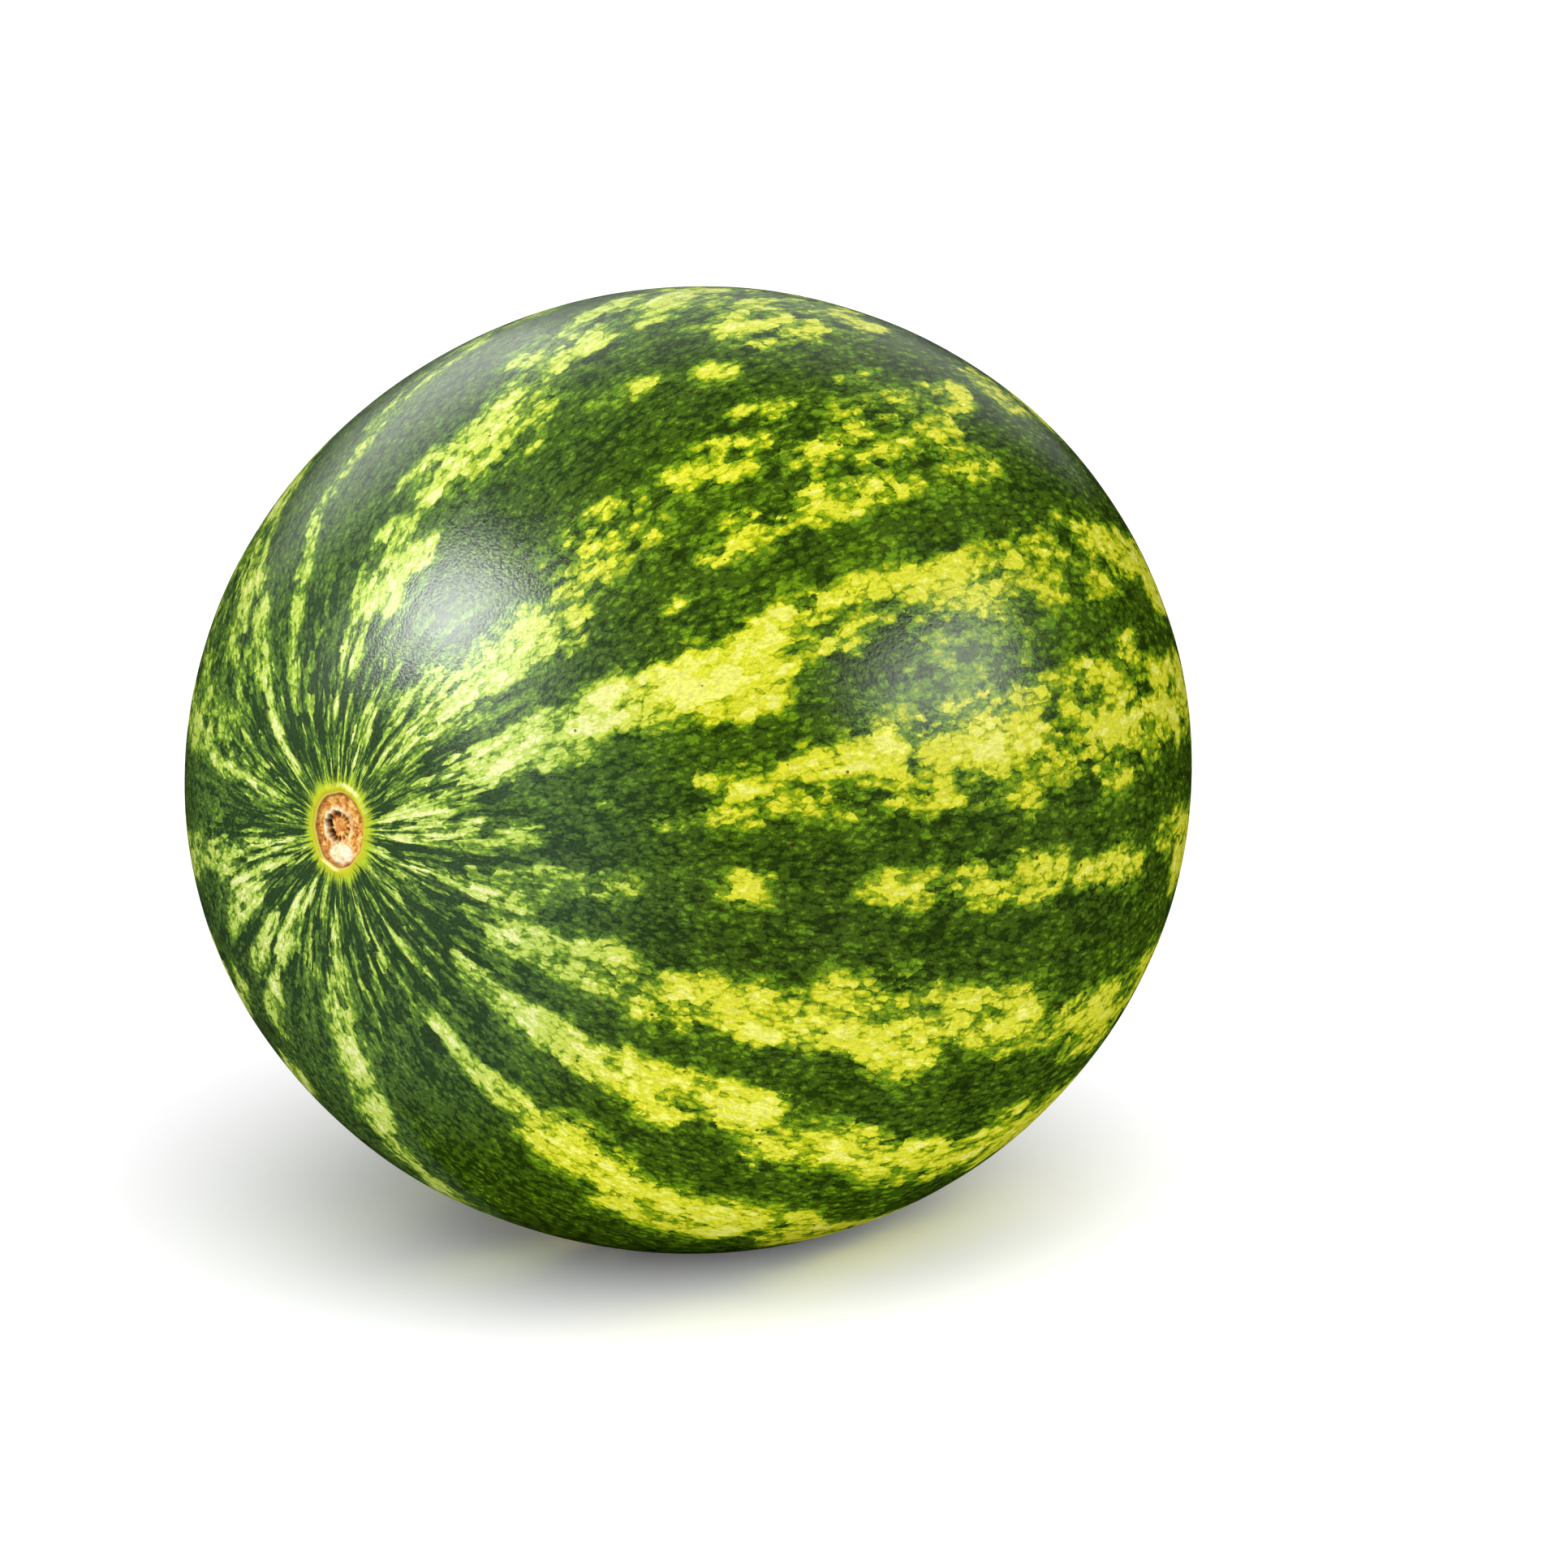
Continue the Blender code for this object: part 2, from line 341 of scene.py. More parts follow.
def hollow(radius, reach, depth):
    """How deep a round basin of that reach and depth is, at a radius from the axis."""
    return depth * (1.0 - smooth_step(radius / reach))


def outline(turn, shape):
    """Places (along, radius) on the oval outline; turn runs from 0 at the stem to pi."""
    along = -np.cos(turn)
    radius = np.sin(turn) * (1.0 + shape.fuller_at_blossom * along)
    return along * shape.length / 2.0, radius * shape.diameter / 2.0


def swell(places, size):
    """Even random heights from -1 to 1, with features of that size, at each place."""
    return np.array([noise.noise(Vector(place) / size) for place in places])


def stroke_paleness(turn, side, stroke):
    """How pale one stroke, narrower at its ends, makes each point; angles in degrees."""
    first, last, side_first, side_last, width_first, width_last, paleness = stroke
    share = np.clip((turn - first) / (last - first), 0.0, 1.0)
    centre = side_first + (side_last - side_first) * share
    width = width_first + (width_last - width_first) * share
    width = width * (0.6 + 0.4 * smooth_step((np.minimum(turn - first, last - turn) + 1.0) / 2.6))
    across = np.abs((side - centre + 180.0) % 360.0 - 180.0) / width
    beyond = np.maximum(first - turn, turn - last)
    core = (1.0 - smooth_step((beyond + 1.0) / 2.2)) * (1.0 - smooth_step((across - 0.80) / 0.55))
    halo = (1.0 - smooth_step((beyond + 1.0) / 4.0)) * (1.0 - smooth_step((across - 0.9) / 1.1))
    return np.maximum(paleness * core, 0.38 * paleness * halo)


def hidden_strokes():
    """Patches of the same kind along the stripes out of sight, the same each run."""
    chance = np.random.default_rng(7)
    strokes = []
    for side, turn in HIDDEN_STRIPES:
        while turn < 165.0:
            reach = chance.uniform(9.0, 20.0)
            width = chance.uniform(2.6, 5.2)
            start, end = side + chance.uniform(-3.0, 3.0, 2)
            paleness = chance.uniform(0.6, 0.98)
            strokes.append((turn, turn + reach, start, end, width, width, paleness))
            turn += reach * chance.uniform(0.55, 1.1)
    return strokes


def rind_paleness(turn, side, skin):
    """The paleness at each point, from all strokes with wavy outlines; angles in degrees."""
    strokes = [stroke for stripe in STRIPES.values() for stroke in stripe]
    calm = smooth_step((turn - 8.0) / 20.0)
    turn = turn + calm * swell(skin, 0.010)
    side = side + 0.8 * calm * (swell(skin + 0.5, 0.011) + 0.7 * swell(skin + 0.9, 0.005))
    result = np.zeros_like(turn)
    for stroke in strokes + hidden_strokes():
        result = np.maximum(result, stroke_paleness(turn, side, stroke))
    return result * (0.84 + 0.16 * smooth_step((turn - 9.0) / 14.0))


def select_nothing():
    """Leaves no object selected, so that the next operator acts on its own piece alone."""
    bpy.ops.object.select_all(action="DESELECT")


def place_array(obj):
    """The vertices' places as an array of (x, y, z)."""
    places = np.empty(len(obj.data.vertices) * 3)
    obj.data.vertices.foreach_get("co", places)
    return places.reshape(-1, 3)


def set_places(obj, places):
    """Moves the vertices to those places."""
    obj.data.vertices.foreach_set("co", places.astype(np.float32).ravel())
    obj.data.update()


def set_attribute(obj, name, values):
    """Stores one number or one vector for each vertex, which the material reads by name."""
    kind, field = ("FLOAT", "value") if values.ndim == 1 else ("FLOAT_VECTOR", "vector")
    attribute = obj.data.attributes.new(name, kind, "POINT")
    attribute.data.foreach_set(field, values.astype(np.float32).ravel())


# Fineness of the mesh. The close rings at the stem reach that far, as a turn in radians.
STEPS_AROUND = 320
RINGS_AT_STEM = 84
RINGS_ON_BODY = 196
STEM_REACH = 0.125


def ring_turns():
    """Turns of the mesh's rings: close together at the stem scar, even on the body."""
    stem = STEM_REACH * np.arange(RINGS_AT_STEM) / RINGS_AT_STEM
    share = np.arange(RINGS_ON_BODY + 1) / RINGS_ON_BODY
    opening = STEM_REACH / RINGS_AT_STEM * RINGS_ON_BODY
    rest = math.pi - STEM_REACH
    body = opening * share + (rest - opening) * share * share * (2.0 - share)
    return np.concatenate([stem, STEM_REACH + body])


def spin_melon(shape):
    """The plain oval body: half a circle drawn out to the outline, spun about X."""
    turns = ring_turns()
    select_nothing()
    bpy.ops.mesh.primitive_circle_add(
        vertices=2 * (len(turns) - 1),
        radius=1.0,
        fill_type="NOTHING",
        rotation=(math.pi / 2, 0.0, 0.0),
    )
    melon = bpy.context.object
    bpy.ops.object.transform_apply(rotation=True)
    bpy.ops.object.mode_set(mode="EDIT")
    bpy.ops.mesh.select_all(action="SELECT")
    bpy.ops.mesh.bisect(plane_co=(0.0, 0.0, 0.0), plane_no=(0.0, 0.0, 1.0), clear_inner=True)
    bpy.ops.object.mode_set(mode="OBJECT")
    places = place_array(melon)
    order = np.argsort(places[:, 0])
    along, radius = outline(turns, shape)
    profile = np.zeros_like(places)
    profile[order, 0] = along
    profile[order, 2] = radius
    set_places(melon, profile)
    bpy.ops.object.mode_set(mode="EDIT")
    bpy.ops.mesh.select_all(action="SELECT")
    bpy.ops.mesh.spin(
        steps=STEPS_AROUND, angle=math.tau, center=(0.0, 0.0, 0.0), axis=(1.0, 0.0, 0.0)
    )
    bpy.ops.mesh.select_all(action="SELECT")
    bpy.ops.mesh.remove_doubles(threshold=1e-6)
    bpy.ops.mesh.normals_make_consistent(inside=False)
    bpy.ops.object.mode_set(mode="OBJECT")
    return melon


# Middles of the ring of pits and of the pale lump, right and up of the scar's, in metres.
PIT_RING_AT = (-0.0008, 0.0009)
LUMP_AT = (0.0004, -0.0049)
# Radius of the outline's rounding at its stem end.
END_RADIUS = 0.108


def scar_edge(side, scar):
    """Radius of the scar's oval edge in the direction of side, slightly uneven."""
    turned = side - scar.lean
    oval = 1.0 / np.hypot(np.sin(turned) / scar.half_width, np.cos(turned) / scar.half_height)
    shoulders = 0.041 + 0.046 * np.cos(side - 0.24) + 0.037 * np.cos(2.0 * side + 0.71)
    shoulders -= 0.018 * np.cos(3.0 * side)
    nicks = 0.014 * np.sin(7.0 * side) + 0.010 * np.sin(12.0 * side + 1.0)
    return oval * (1.0 + shoulders + nicks)


def oval_turn(turn, side, scar):
    """Turns moved so that the rings near the stem follow the scar's oval."""
    circle = (scar.half_width + scar.half_height) / 2.0
    radius = np.sin(turn) * END_RADIUS
    fade = 1.0 - smooth_step((radius - circle * 1.2) / (circle * 1.2))
    return turn * (1.0 + (scar_edge(side, scar) / circle - 1.0) * fade)


def sap_pits(right, up, scar):
    """How far each point lies in one of the ring's pits, the widest on the left; 0 to 1."""
    chance = np.random.default_rng(3)
    depth = np.zeros_like(right)
    for number in range(scar.pits):
        angle = math.tau * (number + chance.uniform(-0.25, 0.25)) / scar.pits
        reach = scar.pit_ring_radius + chance.uniform(-0.00030, 0.00030)
        leftness = 0.5 - 0.5 * math.sin(angle)
        size = chance.uniform(0.00034, 0.00046) + 0.00026 * leftness
        across = right * math.cos(angle) - up * math.sin(angle)
        outward = right * math.sin(angle) + up * math.cos(angle) - reach
        away = np.hypot(across, outward / 1.4) / size
        pit = (0.55 + 0.45 * leftness) * (1.0 - smooth_step((away - 0.45) / 0.75))
        depth = np.maximum(depth, pit)
    return depth


def scar_relief(right, up, edge_share, scar):
    """Outward height of the scar's lip, cork, pits and lump, and pit, cream and dome masks."""
    ring_right, ring_up = right - PIT_RING_AT[0], up - PIT_RING_AT[1]
    ring_radius = np.hypot(ring_right, ring_up)
    ring_angle = np.arctan2(ring_right, ring_up)
    lip = scar.lip_height * bump_at(edge_share, 1.13, 0.17)
    plate = scar.depth * (1.0 - smooth_step((edge_share - 0.86) / 0.2))
    wobble = swell(np.column_stack([right, up, np.full_like(up, 0.3)]), 0.0016)
    knobs = swell(np.column_stack([right, up, np.full_like(up, 1.7)]), 0.0007)
    inside = 1.0 - smooth_step((edge_share - 0.80) / 0.2)
    cork = inside * (0.00030 * wobble + 0.00014 * knobs)
    upper_left = 0.5 + 0.5 * np.cos(ring_angle + 0.8)
    wall = bump_at(ring_radius, scar.pit_ring_radius + 0.0010, 0.0010) * (0.25 + 0.75 * upper_left)
    pit = sap_pits(ring_right, ring_up, scar)
    dome = 1.0 - smooth_step(ring_radius / 0.0019)
    from_lump = np.hypot((right - LUMP_AT[0]) / 1.35, up - LUMP_AT[1])
    lump = 1.0 - smooth_step(from_lump / 0.0034)
    raised = 0.00045 * wall + 0.0003 * dome + 0.0009 * lump * (1.0 + 0.6 * knobs)
    height = lip - plate + cork + raised * inside - 0.0011 * pit * inside
    cream = np.maximum(wall * (0.8 + 0.5 * knobs), smooth_step(lump * 3.4 + 0.5 * knobs - 0.2))
    return height, np.column_stack([pit * inside, np.clip(cream, 0.0, 1.0) * inside, dome])


def form_stem_end(along, radius, side, shape, scar):
    """The stem half moved in by its basin and carved with the scar; returns its masks too."""
    edge_share = radius / scar_edge(side, scar)
    near = edge_share < 2.4
    right, up = radius * np.sin(side), radius * np.cos(side)
    height = np.zeros_like(along)
    marks = np.zeros((len(along), 3))
    height[near], marks[near] = scar_relief(right[near], up[near], edge_share[near], scar)
    along = along + hollow(radius, shape.basin_radius, shape.basin_depth) - height
    return along, edge_share, marks


def form_blossom_end(along, radius, side, shape, scar):
    """The blossom half moved in by its basin, with the small star-shaped button."""
    share = radius / scar.button_radius
    star = 1.0 + 0.12 * np.cos(5.0 * side + 0.4)
    button = scar.button_height * (1.0 - smooth_step((share * star - 0.8) / 0.9))
    dimple = 0.0007 * (1.0 - smooth_step(share / 0.45))
    basin = hollow(radius, shape.blossom_basin_radius, shape.blossom_basin_depth)
    return along - basin + button - dimple


def press_belly(height, softness):
    """Heights with what is under the floor raised to it, turning up softly at the edge."""
    curve = (height + softness) ** 2 / (4.0 * softness)
    return np.where(height <= -softness, 0.0, np.where(height < softness, curve, height))


# The skin's own measures: its radius at the girth and its length for each radian of turn,
# in metres, and the side and turn of the pale ground spot's middle, in degrees.
GIRTH_RADIUS, ARC_PER_TURN = 0.115, 0.122
BELLY_SIDE, BELLY_TURN = 188.0, 96.0


class OBJECT_OT_melon_rind(bpy.types.Operator):
    """Model the whole fruit's skin with its stem scar, and lay it on its resting spot"""

    bl_idname = "object.melon_rind"
    bl_label = "Rind and stem scar"
    bl_options = {"REGISTER", "UNDO"}

    def execute(self, context):
        shape, scar = context.scene.melon_shape, context.scene.melon_scar
        melon = spin_melon(shape)
        melon.name = melon.data.name = "rind_with_stem_scar"
        spun = place_array(melon)
        turn = np.arccos(np.clip(-spun[:, 0] / (shape.length / 2.0), -1.0, 1.0))
        side = np.arctan2(-spun[:, 1], spun[:, 2])
        turn = np.where(turn < 1.0, oval_turn(turn, side, scar), turn)
        along, radius = outline(turn, shape)
        stem_half = along < 0.0
        stem_along, edge_share, marks = form_stem_end(along, radius, side, shape, scar)
        blossom_along = form_blossom_end(along, radius, side, shape, scar)
        formed = np.where(stem_half, stem_along, blossom_along)
        places = np.column_stack([formed, -radius * np.sin(side), radius * np.cos(side)])
        places *= self.slow_swelling(places, edge_share, stem_half, shape)
        places = self.lay_down(places, shape)
        set_places(melon, places)
        self.store_marks(melon, turn, side, radius, edge_share, stem_half, marks, scar)
        self.assign_materials(melon, context)
        bpy.ops.object.shade_smooth()
        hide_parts(NODE)
        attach(melon, "root")
        return {"FINISHED"}

    def slow_swelling(self, places, edge_share, stem_half, shape):
        """Share by which each point moves out, so that the oval isn't perfect."""
        swelling = swell(places, 0.055) + 0.35 * swell(places, 0.021)
        calm = np.where(stem_half, smooth_step((edge_share - 1.5) / 3.0), 1.0)
        return (1.0 + swelling * calm * shape.unevenness / (shape.diameter / 2.0))[:, None]

    def lay_down(self, places, shape):
        """Tilts the fruit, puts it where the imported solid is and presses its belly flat."""
        tilt = np.array(Matrix.Rotation(shape.stem_end_raised, 3, "Y"))
        places = places @ tilt.T
        low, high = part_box(NODE)
        middle = (places.min(axis=0) + places.max(axis=0)) / 2.0
        places[:, 0] += (low.x + high.x) / 2.0 - middle[0]
        places[:, 1] += (low.y + high.y) / 2.0 - middle[1]
        places[:, 2] += high.z - places[:, 2].max()
        places[:, 2] = press_belly(places[:, 2], shape.belly_edge_softness)
        return places

    def store_marks(self, melon, turn, side, radius, edge_share, stem_half, marks, scar):
        """Stores what the materials read: skin places, paleness, tones and the scar's masks."""
        far_away = 99.0
        ring = np.column_stack([np.cos(side), np.sin(side)])
        arc = turn * ARC_PER_TURN
        skin = np.column_stack([ring * (GIRTH_RADIUS * np.sin(turn) ** 0.55)[:, None], arc])
        set_attribute(melon, "growth", np.column_stack([ring * GIRTH_RADIUS, arc]))
        set_attribute(melon, "skin", skin)
        set_attribute(melon, "scar_share", np.where(stem_half, edge_share, far_away))
        set_attribute(melon, "scar_marks", np.where(stem_half[:, None], marks, 0.0))
        button_share = np.where(stem_half, far_away, radius / scar.button_radius)
        set_attribute(melon, "button_share", button_share)
        right, up = radius * np.sin(side), radius * np.cos(side)
        set_attribute(melon, "scar_place", np.column_stack([right, up, np.zeros_like(up)]))
        turn, side = np.degrees(turn), np.degrees(side)
        set_attribute(melon, "paleness", rind_paleness(turn, side, skin))
        below = np.abs((side - BELLY_SIDE + 180.0) % 360.0 - 180.0) / 20.0
        belly = 1.0 - smooth_step(np.hypot(below, (turn - BELLY_TURN) / 24.0) - 0.3)
        set_attribute(melon, "belly", belly)
        # Cool, greyer tones by the stem and on top: partly own colour, partly a painted sheen.
        unsheened_past_stem = smooth_step((turn - 27.0) / 20.0)
        unsheened_front_side = 0.15 + 0.85 * smooth_step((side + 10.0) / 45.0)
        set_attribute(melon, "unsheened_warmth", unsheened_past_stem * unsheened_front_side)

    def assign_materials(self, melon, context):
        """Rind all over, and cork inside the scar's edge and on the button."""
        melon.data.materials.append(rind_material(context.scene.melon_rind))
        melon.data.materials.append(cork_material())
        share = np.empty(len(melon.data.vertices))
        melon.data.attributes["scar_share"].data.foreach_get("value", share)
        button = np.empty(len(melon.data.vertices))
        melon.data.attributes["button_share"].data.foreach_get("value", button)
        corky = np.minimum(share, button) < 1.0
        for face in melon.data.polygons:
            if all(corky[corner] for corner in face.vertices):
                face.material_index = 1


def linear(hex_colour):
    """An sRGB hex colour as linear RGBA."""
    values = [int(hex_colour[i : i + 2], 16) / 255.0 for i in (0, 2, 4)]
    straight = [v / 12.92 if v <= 0.04045 else ((v + 0.055) / 1.055) ** 2.4 for v in values]
    return (*straight, 1.0)


def add_node(tree, kind, inputs=(), take=0, **settings):
    """Adds a shader node, sets it, feeds its inputs by number or name, and returns an output."""
    made = tree.nodes.new("ShaderNode" + kind)
    stops = settings.pop("stops", ())
    for name, value in settings.items():
        setattr(made, name, value)
    for place, (position, hex_colour) in enumerate(stops):
        elements = made.color_ramp.elements
        stop = elements.new(position) if place > 1 else elements[place]
        stop.position = position
        stop.color = linear(hex_colour)
    for name, value in inputs.items() if isinstance(inputs, dict) else enumerate(inputs):
        if isinstance(value, bpy.types.NodeSocket):
            tree.links.new(value, made.inputs[name])
        else:
            made.inputs[name].default_value = value
    return made.outputs[take]


def per_metre(size_in_mm):
    """The scale that gives a pattern features of that size."""
    return 1.0 / (size_in_mm * MILLIMETRE)


# Where each tone of the rind holds on the scale of shades: dark, ground, light, three of a
# stripe, cream. Between two of them the tone turns quickly, so the borders are crisp.
TONE_REACHES = (
    (-0.12, -0.12),
    (-0.04, 0.11),
    (0.16, 0.31),
    (0.34, 0.45),
    (0.48, 0.58),
    (0.61, 0.90),
    (1.02, 1.02),
)
LOWEST_SHADE, HIGHEST_SHADE = -0.4, 1.2

# Colours of the collar, from the scar's edge outwards.
COLLAR = ((0.0, "8A5A14"), (0.07, "DDD466"), (0.15, "C2BC1E"), (0.48, "C8D022"), (0.85, "B4D030"))

# How much the chance value of each size of cell group adds to the tearing.
TEARING = {"grain": 0.36, "fleck": 0.48, "patch": 0.28}

EVENLY = {"interpolation_type": "SMOOTHSTEP"}


def rind_material(look):
    """Watermelon rind: a waxed skin of small cell groups, dark green with torn pale stripes."""
    material = bpy.data.materials.new("waxy_melon_rind")
    material.use_nodes = True
    tree = material.node_tree
    shader = tree.nodes["Principled BSDF"]

    growth, skin = (
        add_node(tree, "Attribute", take="Vector", attribute_name=name)
        for name in ("growth", "skin")
    )
    paleness, scar_share, unsheened_warmth, belly = (
        add_node(tree, "Attribute", take="Fac", attribute_name=name)
        for name in ("paleness", "scar_share", "unsheened_warmth", "belly")
    )
    place = add_node(tree, "TexCoord", take="Object")
    arc = add_node(tree, "SeparateXYZ", (growth,), "Z")

    # Cell groups drawn out along the growth, in three sizes, each with its own chance value.
    drawn_out = add_node(tree, "Mapping", {"Vector": skin, "Scale": (1.0, 1.0, 0.5)})
    wander = add_node(
        tree, "TexNoise", {"Vector": place, "Scale": per_metre(1.8), "Detail": 4.0}, "Color"
    )
    sway = (0.0019, 0.0019, 0.0019)
    wavy = add_node(tree, "VectorMath", (wander, sway, drawn_out), operation="MULTIPLY_ADD")
    cells = {}
    for name in TEARING:
        size = getattr(look, name)
        cells[name] = add_node(
            tree, "TexVoronoi", {"Vector": wavy, "Scale": per_metre(size)}
        ).node.outputs
    drift = add_node(
        tree,
        "TexNoise",
        {
            "Vector": cells["grain"]["Position"],
            "Scale": per_metre(look.drift),
            "Detail": 5.0,
            "Roughness": 0.62,
        },
        "Fac",
    )
    usual_tearing = 1.53
    torn = add_node(tree, "Math", (drift, 2.0, -usual_tearing), operation="MULTIPLY_ADD")
    for name, weight in TEARING.items():
        chance = add_node(tree, "SeparateXYZ", (cells[name]["Color"],))
        torn = add_node(tree, "Math", (chance, weight, torn), operation="MULTIPLY_ADD")

    # Streaks run out from the stem, broken into dashes, and are gone a quarter of the way along.
    combed = add_node(tree, "Mapping", {"Vector": growth, "Scale": (1.0, 1.0, 0.24)})
    streaks = add_node(
        tree,
        "TexNoise",
        {"Vector": combed, "Scale": per_metre(look.streak), "Detail": 3.0, "Roughness": 0.6},
        "Fac",
    )
    usual_streak = 2.17
    streaks = add_node(tree, "Math", (streaks, 3.2, -usual_streak), operation="MULTIPLY_ADD")
    sway = (0.0030, 0.0030, 0.0030)
    dashes = add_node(tree, "VectorMath", (wander, sway, growth), operation="MULTIPLY_ADD")
    dashes = add_node(tree, "Mapping", {"Vector": dashes, "Scale": (1.0, 1.0, 0.85)})
    dashes = add_node(
        tree, "TexVoronoi", {"Vector": dashes, "Scale": per_metre(look.dash)}, "Color"
    )
    dashes = add_node(tree, "SeparateXYZ", (dashes,))
    streaks = add_node(tree, "Math", (dashes, 1.1, streaks), operation="MULTIPLY_ADD")
    by_stem = add_node(tree, "MapRange", (arc, 0.016, 0.085, 1.0, 0.0), **EVENLY)
    streaks = add_node(tree, "Math", (streaks, by_stem), operation="MULTIPLY")

    # The tearing is strong in and beside the stripes and weak on the ground between them.
    torn_by = add_node(tree, "MapRange", (paleness, 0.0, 0.35, 0.20, 1.0), **EVENLY)
    calmer = add_node(tree, "Math", (by_stem, -0.45, 1.0), operation="MULTIPLY_ADD")
    torn_by = add_node(tree, "Math", (torn_by, calmer), operation="MULTIPLY")
    shade = add_node(tree, "Math", (torn, torn_by, streaks), operation="MULTIPLY_ADD")
    shade = add_node(tree, "Math", (paleness, 0.84, shade), operation="MULTIPLY_ADD")

    # Fine mottling of the whole skin, and cell groups paler in the middle than at the border.
    mottle = add_node(
        tree,
        "TexNoise",
        {"Vector": wavy, "Scale": per_metre(1.1), "Detail": 4.0, "Roughness": 0.68},
        "Fac",
    )
    shade = add_node(tree, "Math", (mottle, 0.52, shade), operation="MULTIPLY_ADD")
    from_middle = cells["grain"]["Distance"]
    shade = add_node(tree, "Math", (from_middle, -0.52, shade), operation="MULTIPLY_ADD")
    ground_level = 0.025
    shade = add_node(tree, "Math", (shade, ground_level), operation="SUBTRACT")

    # Tones come in steps, cool near the stem, partly a painted sheen, and warm past it.
    span = add_node(tree, "MapRange", (shade, LOWEST_SHADE, HIGHEST_SHADE, 0.0, 1.0))
    tones = []
    for palette in (look.cool.split(), look.warm.split()):
        stops = [
            ((at - LOWEST_SHADE) / (HIGHEST_SHADE - LOWEST_SHADE), tone)
            for tone, reach in zip(palette, TONE_REACHES)
            for at in sorted(set(reach))
        ]
        tones.append(add_node(tree, "ValToRGB", (span,), "Color", stops=stops))
    cool_to_warm = {"Factor": unsheened_warmth, "A": tones[0], "B": tones[1]}
    colour = add_node(tree, "Mix", cool_to_warm, "Result", data_type="RGBA")
    # Single cells, coarser than life so that they show, mottle the dark parts most.
    speckle = add_node(
        tree,
        "TexNoise",
        {"Vector": drawn_out, "Scale": per_metre(0.8), "Detail": 3.0, "Roughness": 0.7},
        "Fac",
    )
    contrast = add_node(tree, "MapRange", (shade, 0.25, 0.65, 2.6, 1.1))
    speckle = add_node(tree, "Math", (speckle, 0.5), operation="SUBTRACT")
    speckle = add_node(tree, "Math", (speckle, contrast, 1.0), operation="MULTIPLY_ADD")
    colour = add_node(tree, "VectorMath", {0: colour, "Scale": speckle}, operation="SCALE")

    # Brown lenticels, up to 1 mm across and some 5 mm apart.
    dots = add_node(tree, "TexVoronoi", {"Vector": skin, "Scale": per_metre(3.4)}).node.outputs
    chosen = add_node(tree, "SeparateXYZ", (dots["Color"],))
    reach = add_node(tree, "MapRange", (chosen, 0.50, 1.0, 0.0, 0.16))
    lenticel = add_node(tree, "Math", (reach, dots["Distance"]), operation="SUBTRACT")
    lenticel = add_node(tree, "MapRange", (lenticel, 0.0, 0.03, 0.0, 0.85))
    # The belly lay on the ground, out of the light, and stayed cream.
    bleached = add_node(tree, "Math", (torn, 0.7, belly), operation="MULTIPLY_ADD")
    bleached = add_node(tree, "MapRange", (bleached, 0.25, 0.70, 0.0, 0.9), **EVENLY)
    bleached = add_node(tree, "Math", (bleached, belly), operation="MULTIPLY")
    # The collar round the scar: a brown line, a pale lip, then yellow that fades in tongues.
    collar = add_node(tree, "MapRange", (scar_share, 0.99, 1.42, 0.0, 1.0))
    collar = add_node(tree, "ValToRGB", (collar,), "Color", stops=COLLAR)
    ringed = add_node(tree, "Math", (mottle, 0.5, scar_share), operation="MULTIPLY_ADD")
    ringed = add_node(tree, "Math", (streaks, -0.22, ringed), operation="MULTIPLY_ADD")
    ringed = add_node(tree, "MapRange", (ringed, 1.44, 1.86, 1.0, 0.0), **EVENLY)
    layers = (
        (lenticel, linear(look.lenticel)),
        (bleached, linear(look.ground_spot)),
        (ringed, collar),
    )
    for mask, over in layers:
        laid_over = {"Factor": mask, "A": colour, "B": over}
        colour = add_node(tree, "Mix", laid_over, "Result", data_type="RGBA")
    tree.links.new(colour, shader.inputs["Base Color"])

    # Fine leathery grain under the wax.
    grain = add_node(
        tree, "TexNoise", {"Vector": skin, "Scale": per_metre(0.9), "Detail": 3.0}, "Fac"
    )
    bump = add_node(tree, "Bump", {"Strength": 0.7, "Distance": 0.00013, "Height": grain})
    tree.links.new(bump, shader.inputs["Normal"])
    # The wax is rubbed thin in places, so the gloss varies a little.
    wax = add_node(
        tree, "TexNoise", {"Vector": skin, "Scale": per_metre(12.0), "Detail": 4.0}, "Fac"
    )
    glossy, rubbed = look.roughness - 0.04, look.roughness + 0.04
    wax = add_node(tree, "MapRange", (wax, 0.3, 0.7, glossy, rubbed))
    tree.links.new(wax, shader.inputs["Roughness"])
    shader.inputs["IOR"].default_value = 1.33
    return material


